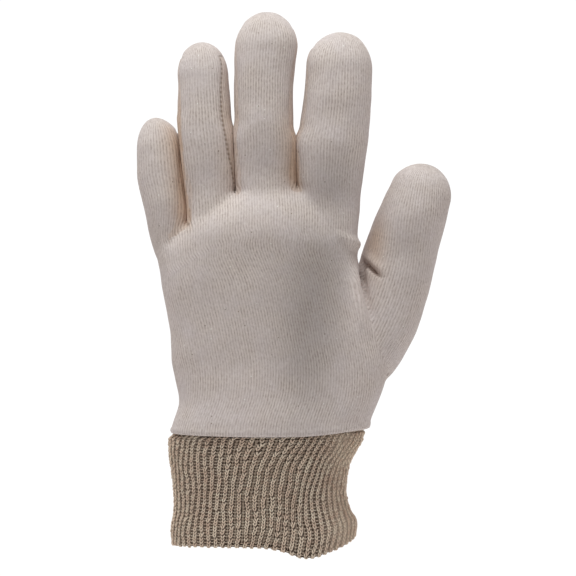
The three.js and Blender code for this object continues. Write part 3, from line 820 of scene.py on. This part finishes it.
def white_paper(name):
    """Seamless white studio paper: plain and matt, and bright enough to show no edge."""
    material, tree, output = start_material(name)
    shader = add_node(tree, "ShaderNodeBsdfPrincipled", {}, {"Base Color": linear(0xF4F4F4), "Roughness": 0.9})
    tree.links.new(shader.outputs[0], output.inputs["Surface"])
    return material


class GloveSizes(bpy.types.PropertyGroup):
    wall: bpy.props.FloatProperty(name="Cloth", description="Thickness of the interlock cloth",
                                  default=1.3 * MM, min=0.0005, max=0.003, subtype="DISTANCE", unit="LENGTH")
    wale: bpy.props.FloatProperty(name="Wale", description="Width of one column of the interlock's stitches",
                                  default=1.25 * MM, min=0.0005, max=0.004, subtype="DISTANCE", unit="LENGTH")
    groove: bpy.props.FloatProperty(name="Seam groove", description="How deep the seams are drawn in",
                                    default=0.5 * MM, min=0, max=0.002, subtype="DISTANCE", unit="LENGTH")
    cotton: bpy.props.IntProperty(name="Cotton", description="Colour of the cloth, as an sRGB hex number",
                                  default=0xE0D4CF, min=0, max=0xFFFFFF)
    yarn: bpy.props.IntProperty(name="Rib yarn", description="Colour of the cuff's yarn, as an sRGB hex number",
                                default=0xF8D9C3, min=0, max=0xFFFFFF)
    ribs: bpy.props.IntProperty(name="Ribs", description="Ribs round the cuff", default=64, min=24, max=90)
    courses: bpy.props.IntProperty(name="Courses", description="Rows of stitches from the hem to the edge",
                                   default=38, min=16, max=60)
    rib_depth: bpy.props.FloatProperty(name="Rib depth", description="Depth of the valleys between the ribs",
                                       default=1.3 * MM, min=0, max=0.003, subtype="DISTANCE", unit="LENGTH")


class GLOVE_OT_cloth(bpy.types.Operator):
    """Makes the hand's cloth: the back and palm panels, the strips between the fingers, and the thumb"""

    bl_idname = "glove.cloth"
    bl_label = "Hand of cotton interlock"

    def execute(self, context):
        sizes = context.scene.glove
        form = self.finer_near_thumb(joined_form())
        fill_points(form, crumpled(points_of(form), normals_of(form)))
        whole = bmesh.new()
        whole.from_mesh(form)
        bpy.data.meshes.remove(form)
        rest = whole.verts.layers.float_vector.new("rest")
        for vert in whole.verts:
            vert[rest] = vert.co
        level_cut(whole, hem_level, clear=True)
        level_cut(whole, lambda p: np.where(p[:, 0] > 20, thumb_level(p), 9.0))
        hand_faces = [f for f, level in zip(whole.faces, self.thumb_side(whole, rest)) if level > 0]
        level_cut(whole, seam_level, hand_faces)
        for pair in range(3):
            centres = centres_of(whole.faces, rest)
            near = [f for f, inside in zip(whole.faces, in_fourchette_region(pair, centres)) if inside]
            level_cut(whole, lambda p: fourchette_level(pair, p), near)
        tips = [v for v in whole.verts if v.co.z > FINGERTIPS]
        bmesh.ops.remove_doubles(whole, verts=tips, dist=0.1)
        self.draw_seams(whole, rest, sizes.groove / MM)
        names = self.name_faces(whole, rest)
        cotton = interlock_cotton("cotton_interlock", sizes.cotton, sizes.wale / MM)
        strip = interlock_cotton("cotton_interlock_strip", shifted(sizes.cotton, -3, -7, -11), sizes.wale / MM)
        for name in dict.fromkeys(names):
            part = whole.copy()
            part.faces.ensure_lookup_table()
            others = [part.faces[i] for i, other in enumerate(names) if other != name]
            bmesh.ops.delete(part, geom=others, context="FACES")
            self.add_panel(part, name, strip if name.startswith("fourchette") else cotton, sizes.wall)
        whole.free()
        return {"FINISHED"}

    def finer_near_thumb(self, mesh):
        """The mesh with smaller faces where the creases at the foot of the thumb are."""
        bm = bmesh.new()
        bm.from_mesh(mesh)
        near = [e for e in bm.edges
                if all(39 < v.co.x < 58 and 98 < v.co.z < 136 and v.co.y < 6 for v in e.verts)]
        bmesh.ops.subdivide_edges(bm, edges=near, cuts=1, use_grid_fill=True, smooth=0.5)
        bmesh.ops.triangulate(bm, faces=[f for f in bm.faces if len(f.verts) > 4])
        bm.to_mesh(mesh)
        bm.free()
        return mesh

    def thumb_side(self, whole, rest):
        centres = centres_of(whole.faces, rest)
        return np.where(centres[:, 0] > 20, thumb_level(centres), 9.0)

    def name_faces(self, whole, rest):
        """The CAD node that each face belongs to."""
        centres = centres_of(whole.faces, rest)
        names = np.where(seam_level(centres) < 0, "back_panel", "palm_panel").astype(object)
        for pair in range(3):
            inside = in_fourchette_region(pair, centres) & (fourchette_level(pair, centres) > 0)
            names[inside] = f"fourchette_{FINGERS[pair + 1]['name']}_{FINGERS[pair]['name']}"
        names[self.thumb_side(whole, rest) < 0] = "thumb"
        return list(names)

    def draw_seams(self, whole, rest, depth):
        """Draws the cloth in along its seams and rolls it in at the hem."""
        whole.normal_update()
        points = coordinates(whole)
        normals = np.array([v.normal[:] for v in whole.verts])
        thumb = np.where(points[:, 0] > 20, thumb_level(points), 9.0)
        gap = np.full(len(points), 9.0)
        for pair in range(3):
            inside = in_fourchette_region(pair, points)
            gap = np.where(inside, np.minimum(gap, np.abs(fourchette_level(pair, points))), gap)
        strip = np.zeros(len(points), bool)
        for pair in range(3):
            strip |= in_fourchette_region(pair, points) & (fourchette_level(pair, points) > 0.5)
        side = np.where(strip | (thumb < 0), 9.0, np.abs(seam_level(points)))
        gap = np.minimum(gap, side)
        drawn = depth * np.exp(-((gap / 0.9) ** 2))
        upper = ease(112, 124, points[:, 2]) * ease(0, -6, points[:, 1])
        drawn += 0.4 * depth * np.exp(-((thumb / 1.4) ** 2)) * (1 + upper)
        above = np.clip(-hem_level(points), 0, 3)
        drawn += np.where(above < 1.1, 1.1 - np.sqrt(np.maximum(0, 1.1**2 - (1.1 - above) ** 2)), 0)
        drawn -= 0.35 * np.exp(-(((above - 2) / 1.6) ** 2)) * (above < 3)
        move_to(whole, pressed(points) - normals * drawn[:, None])

    def add_panel(self, part, name, material, wall):
        """One panel as a closed wall of cloth in place of its CAD node."""
        rest = part.verts.layers.float_vector["rest"]
        places = np.array([v[rest][:] for v in part.verts])
        part.verts.layers.float_vector.remove(rest)
        mesh = mesh_of(part, name + "_cloth")
        fill_pairs(mesh, "knit", knit_coordinates(name, places), THUMB_GIRTH if name == "thumb" else None)
        fill_pairs(mesh, "seam", seam_coordinates(places))
        # The "tone" map carries the painted shade and painted highlight of the cloth's colour
        fill_pairs(mesh, "tone", painted_light_and_shade_coordinates(places))
        to_metres(mesh)
        panel = place_object(name + "_cloth", mesh)
        thicken = panel.modifiers.new("wall", "SOLIDIFY")
        thicken.thickness, thicken.offset = wall, -1
        thicken.use_even_offset = False
        mesh = settled_mesh(panel)
        shade_smooth(mesh)
        mesh.materials.append(material)
        panel = place_object(name + "_cloth", mesh)
        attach(panel, "root")
        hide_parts(name)


def cuff_outline(at):
    """Left, right, back and palm of the cuff at a share of its length below the hem."""
    inset = 1.3 + CUFF_CLEARANCE
    up = -at * CUFF_LENGTH / PALM_LENGTH
    tucked = [column_at(HAND_ROWS, "left", up) * HAND_WIDTH + inset, column_at(HAND_ROWS, "right", up) * HAND_WIDTH - inset,
              column_at(HAND_ROWS, "back", up) * WRIST_DEPTH - inset, column_at(HAND_ROWS, "palm", up) * WRIST_DEPTH - inset]
    deep = column_at(CUFF_ROWS, "deep", at) * WRIST_DEPTH / 2
    free = [column_at(CUFF_ROWS, "left", at) * CUFF_WIDTH, column_at(CUFF_ROWS, "right", at) * CUFF_WIDTH, deep, deep]
    share = ease(-0.01, HEM_END, at)
    return [low + (high - low) * share for low, high in zip(tucked, free)]


def edge_lift(x, y):
    """The rise of the cuff's lower edge."""
    place = x / (CUFF_WIDTH / 2)
    lift = np.zeros(x.shape)
    for middle, spread, height, face in EDGE_WAVES:
        wave = height * np.exp(-(((place - middle) / spread) ** 2))
        lift += np.where((face == "both") | (y < 0), wave, 0)
    return lift * CUFF_LENGTH


def cuff_surface(turn, at):
    """Points of the cuff's outer surface, without its ribs."""
    left, right, back, palm = cuff_outline(at)
    c, s = section(turn, FINGER_ROUND)
    x = (left + right) / 2 + (right - left) / 2 * c
    y = np.where(s < 0, back, palm) * s
    z = HEM_HEIGHT - at * CUFF_LENGTH + edge_lift(x, y) * np.maximum(at, 0) ** 2
    return np.column_stack([x, y, z])


CUFF_GIRTH = girth(42.0, 20.0, FINGER_ROUND)
EDGE_ROLL = 1.2


def cuff_points(rib, run, height, ribs):
    """Points of the cuff at a rib number, a length below the hem and a height above the surface. Past the
    lower edge the surface rolls in. The ribs lean and waver as the cuff is drawn to one side."""
    length = CUFF_LENGTH - EDGE_ROLL
    bend = np.clip((run - length) / EDGE_ROLL, 0, np.pi)
    inside = np.maximum(0, run - length - np.pi * EDGE_ROLL)
    share = np.clip((np.minimum(run, length) - inside) / length, -0.2, 1)
    even = rib / ribs
    x = np.cos(2 * np.pi * even)
    lean = (1.0 + 2.1 * np.exp(-(((x - 0.2) / 0.7) ** 2))) * (1 - share) ** 1.1
    waver = (0.13 * np.sin(0.2 * share * length + 0.55 * rib + 0.8 * np.sin(0.37 * rib))
             + 0.05 * np.sin(0.45 * share * length - 1.31 * rib + 2))
    even = ((rib + lean + waver) / ribs - 0.009 * np.sin(4 * np.pi * even)) % 1
    turn = np.interp(even, CUFF_GIRTH[1] / CUFF_GIRTH[1][-1], CUFF_GIRTH[0])
    points = cuff_surface(turn, share)
    step = 1e-3
    around = cuff_surface(turn + step, share) - cuff_surface(turn - step, share)
    down = cuff_surface(turn, share + step) - cuff_surface(turn, share - step)
    around /= np.linalg.norm(around, axis=1)[:, None]
    down /= np.linalg.norm(down, axis=1)[:, None]
    out = np.cross(down, around)
    out /= np.linalg.norm(out, axis=1)[:, None]
    reach = EDGE_ROLL + height
    return points + out * (reach * np.cos(bend) - EDGE_ROLL)[:, None] + down * (reach * np.sin(bend))[:, None]


def openness(points):
    """How far the ribs are spread apart: 1 in the middle of the cuff, less to the little finger's side, and
    least to the thumb's."""
    x = points[:, 0]
    spread = np.exp(-(((x - 3) / 26) ** 4))
    return np.where(x < 3, 0.55 + 0.45 * spread, spread)


class GLOVE_OT_cuff(bpy.types.Operator):
    """Makes the ribbed cuff: a shell with ribs, and the stitches of its yarn over it"""

    bl_idname = "glove.cuff"
    bl_label = "Ribbed cuff"

    def execute(self, context):
        sizes = context.scene.glove
        # 0x34231A is the painted shade of the hollows between the ribs and stitches
        yarn = rib_yarn("rib_yarn", sizes.yarn, 0x34231A)
        self.add_shell(sizes, yarn)
        half = sizes.ribs // 2
        self.add_stitches("cuff_stitches_palm", 0, half, sizes, yarn)
        self.add_stitches("cuff_stitches_back", half, sizes.ribs - half, sizes, yarn)
        return {"FINISHED"}

    def add_shell(self, sizes, yarn):
        """The closed wall under the stitches, outside and in, with a rounded lower edge."""
        bm = bmesh.new()
        loop = bmesh.ops.create_circle(bm, segments=88, radius=0.25, matrix=Matrix.Rotation(math.pi / 2, 4, "X"))
        bmesh.ops.translate(bm, verts=loop["verts"], vec=(1, 0, 0))
        bmesh.ops.spin(bm, geom=bm.verts[:] + bm.edges[:], cent=(0, 0, 0), axis=(0, 0, 1), angle=2 * math.pi,
                       steps=sizes.ribs * 6, use_merge=True)
        bmesh.ops.remove_doubles(bm, verts=bm.verts, dist=1e-5)
        bmesh.ops.recalc_face_normals(bm, faces=bm.faces)
        ring = coordinates(bm)
        around = np.arctan2(ring[:, 1], ring[:, 0]) / (2 * np.pi) % 1
        place = np.arctan2(ring[:, 2], np.hypot(ring[:, 0], ring[:, 1]) - 1) / (2 * np.pi) % 1
        whole = 2 * (CUFF_LENGTH + CUFF_TUCK - EDGE_ROLL) + math.pi * EDGE_ROLL
        run = -CUFF_TUCK + ((0.25 - place) % 1) * whole
        rib = around * sizes.ribs
        outer = run < CUFF_LENGTH - EDGE_ROLL
        valley = 0.5 + 0.5 * np.cos(2 * np.pi * rib)
        free = ease(-2, 3, run) * ease(CUFF_LENGTH + 1, CUFF_LENGTH - 3, run)
        spread = openness(cuff_points(rib, run, 0 * rib, sizes.ribs))
        height = -0.55 - np.where(outer, (sizes.rib_depth / MM) * valley * free * (0.3 + 0.7 * spread), 0.3 * valley)
        height = np.where(run < -0.5, height - 0.4, height)
        move_to(bm, cuff_points(rib, run, height, sizes.ribs))
        mesh = mesh_of(bm, "cuff_shell")
        # Painted shade on the shell: its colour is drawn towards the dark hollow colour where the ribs spread apart
        # and in the valleys between them, less where the ribs lie close, and least inside the cuff
        dark = np.where(outer | (run < CUFF_LENGTH + 2), 0.04 + 0.5 * (1 - spread) + 0.15 * (1 - valley), 0.75)
        fill_pairs(mesh, "stitch", np.column_stack([0.5 + 0 * dark, dark]))
        to_metres(mesh)
        shade_smooth(mesh, 80)
        mesh.materials.append(yarn)
        shell = place_object("cuff_shell", mesh)
        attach(shell, "root")
        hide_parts("cuff")

    def add_stitches(self, name, first, count, sizes, yarn):
        """The stitches of a run of ribs: two slanting loops of yarn and a bar in the valley for each course."""
        bm = bmesh.new()
        pitch, course = 3.45, CUFF_LENGTH / sizes.courses
        for way in (-1, 1):
            leg = bmesh.ops.create_uvsphere(bm, u_segments=6, v_segments=5, radius=1)["verts"]
            bmesh.ops.rotate(bm, verts=leg, matrix=Matrix.Rotation(math.pi / 2, 3, "X"))
            bmesh.ops.scale(bm, verts=leg, vec=(0.36, 0.95, 0.42))
            bmesh.ops.rotate(bm, verts=leg, matrix=Matrix.Rotation(way * 0.42, 3, "Z"))
            bmesh.ops.rotate(bm, verts=leg, matrix=Matrix.Rotation(0.25, 3, "X"))
            bmesh.ops.translate(bm, verts=leg, vec=(way * 0.5, 0, 0))
        bmesh.ops.scale(bm, verts=bm.verts, vec=(1 / pitch, 1 / course, 1))
        bmesh.ops.translate(bm, verts=bm.verts, vec=(0.5, 0.5, 0))
        bar = bmesh.ops.create_uvsphere(bm, u_segments=5, v_segments=4, radius=1)["verts"]
        bmesh.ops.scale(bm, verts=bar, vec=(0.3, 0.2, 0.28))
        bmesh.ops.translate(bm, verts=bar, vec=(0, 0.5, -0.45))

        # Rib number, length down and height are a left-handed frame, which turns a shape inside out
        bmesh.ops.reverse_faces(bm, faces=bm.faces)
        stitch = place_object(name, mesh_of(bm, name))
        for axis, number in ((1, sizes.courses + 2), (0, count)):
            array = stitch.modifiers.new("row", "ARRAY")
            array.use_relative_offset, array.use_constant_offset = False, True
            array.constant_offset_displace = (1.0 - axis, float(axis), 0)
            array.count = number
        mesh = settled_mesh(stitch)
        grid = points_of(mesh)
        per_stitch = len(grid) // (count * (sizes.courses + 2))
        number = np.arange(len(grid)) // per_stitch
        random = np.random.default_rng(11 + first)
        size = random.normal(0, 1, number.max() + 1)[number]
        tone = random.random(number.max() + 1)[number] * 0.7 + random.random(count)[np.floor(grid[:, 0]).clip(0, count - 1).astype(int)] * 0.3
        shift = random.normal(0, 0.1, number.max() + 1)[number]
        legs = (np.arange(len(grid)) % per_stitch) < per_stitch * 0.7
        rib = first + grid[:, 0] + 0.5 * shift
        run = (grid[:, 1] - 0.6 + shift) * course
        run = np.clip(run, -1.5, CUFF_LENGTH + 3)
        height = grid[:, 2] - 0.5 + 0.1 * size * legs
        points = cuff_points(rib, run, height, sizes.ribs)
        fill_points(mesh, points * MM)
        # Painted shade on the stitches: the lower part of each loop of yarn, towards the shell, is drawn towards the
        # dark hollow colour, and the bars in the valleys a little
        lift = np.where(legs, 0.75 + 0.5 * np.clip(grid[:, 2] / 0.5, -1, 0.5), 0.8)
        fill_pairs(mesh, "stitch", np.column_stack([tone, lift]))
        shade_smooth(mesh, 180)
        mesh.materials.append(yarn)
        stitches = place_object(name, mesh)
        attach(stitches, "root")


class GLOVE_OT_stage(bpy.types.Operator):
    """Adds the floor, the studio light and the camera"""

    bl_idname = "glove.stage"
    bl_label = "Floor, light and camera"

    def execute(self, context):
        bm = bmesh.new()
        bmesh.ops.create_circle(bm, cap_ends=True, segments=96, radius=1.2)
        bmesh.ops.translate(bm, verts=bm.verts, vec=(0, 0, -0.14))
        floor = place_object("floor", mesh_of(bm, "floor"))
        floor.data.materials.append(white_paper("white_paper"))
        self.add_world(context.scene)
        self.add_light("overhead", (-0.1, -0.19, 1.15), (0, 0, 0.14), 0.6, 9)
        self.add_camera(context.scene)
        return {"FINISHED"}

    def add_world(self, scene):
        """A white room: plain white where the camera sees it, and a softer fill on the glove."""
        world = bpy.data.worlds.new("white_room")
        scene.world = world
        world.use_nodes = True
        tree = world.node_tree
        tree.nodes.clear()
        way = add_node(tree, "ShaderNodeTexCoord").outputs["Generated"]
        split = add_node(tree, "ShaderNodeSeparateXYZ", {}, {0: way})
        fill = add_node(tree, "ShaderNodeMapRange", {}, {"Value": split.outputs["Y"], "From Min": -1.0,
                                                         "From Max": 0.1, "To Min": 0.22, "To Max": 0.68})
        seen = add_node(tree, "ShaderNodeLightPath").outputs["Is Camera Ray"]
        strength = add_node(tree, "ShaderNodeMapRange", {}, {"Value": seen, "To Min": fill.outputs[0],
                                                             "To Max": 1.05})
        tint = add_node(tree, "ShaderNodeMix", {"data_type": "RGBA"},
                        {"Factor": seen, "A": (1, 0.965, 0.96, 1), "B": (1, 1, 1, 1)})
        room = add_node(tree, "ShaderNodeBackground", {},
                        {"Color": tint.outputs["Result"], "Strength": strength.outputs[0]})
        output = add_node(tree, "ShaderNodeOutputWorld")
        tree.links.new(room.outputs[0], output.inputs["Surface"])

    def add_light(self, name, place, target, size, power):
        lamp = bpy.data.lights.new(name, "AREA")
        lamp.shape, lamp.size, lamp.energy = "DISK", size, power
        lamp.color = (0.93, 1, 1)
        made = place_object(name, lamp)
        made.location = place
        made.rotation_euler = (Vector(target) - Vector(place)).to_track_quat("-Z", "Y").to_euler()

    def add_camera(self, scene):
        """Level with the middle of the glove, 1.5 m away, looking at the back of the hand."""
        camera = bpy.data.cameras.new("camera")
        camera.lens, camera.sensor_width = 203.8, 36
        made = place_object("camera", camera)
        made.location = (0.0106, -1.5, 0.1173)
        made.rotation_euler = (math.pi / 2, 0, 0)
        scene.camera = made
        scene.view_settings.view_transform = "Standard"


class GLOVE_PT_panel(bpy.types.Panel):
    """Sizes and colours of the glove, and its pieces in order"""

    bl_idname = "GLOVE_PT_panel"
    bl_label = "Cotton work glove"
    bl_space_type = "VIEW_3D"
    bl_region_type = "UI"
    bl_category = "Glove"

    def draw(self, context):
        for name in GloveSizes.__annotations__:
            self.layout.prop(context.scene.glove, name)
        for operator in OPERATORS:
            self.layout.operator(operator.bl_idname)


OPERATORS = (GLOVE_OT_cloth, GLOVE_OT_cuff, GLOVE_OT_stage)
CLASSES = (GloveSizes, *OPERATORS, GLOVE_PT_panel)


def register():
    for made in CLASSES:
        bpy.utils.register_class(made)
    bpy.types.Scene.glove = bpy.props.PointerProperty(type=GloveSizes)


def unregister():
    del bpy.types.Scene.glove
    for made in reversed(CLASSES):
        bpy.utils.unregister_class(made)


def main():
    register()
    bpy.ops.glove.cloth()
    bpy.ops.glove.cuff()
    bpy.ops.glove.stage()


if __name__ == "__main__":
    main()
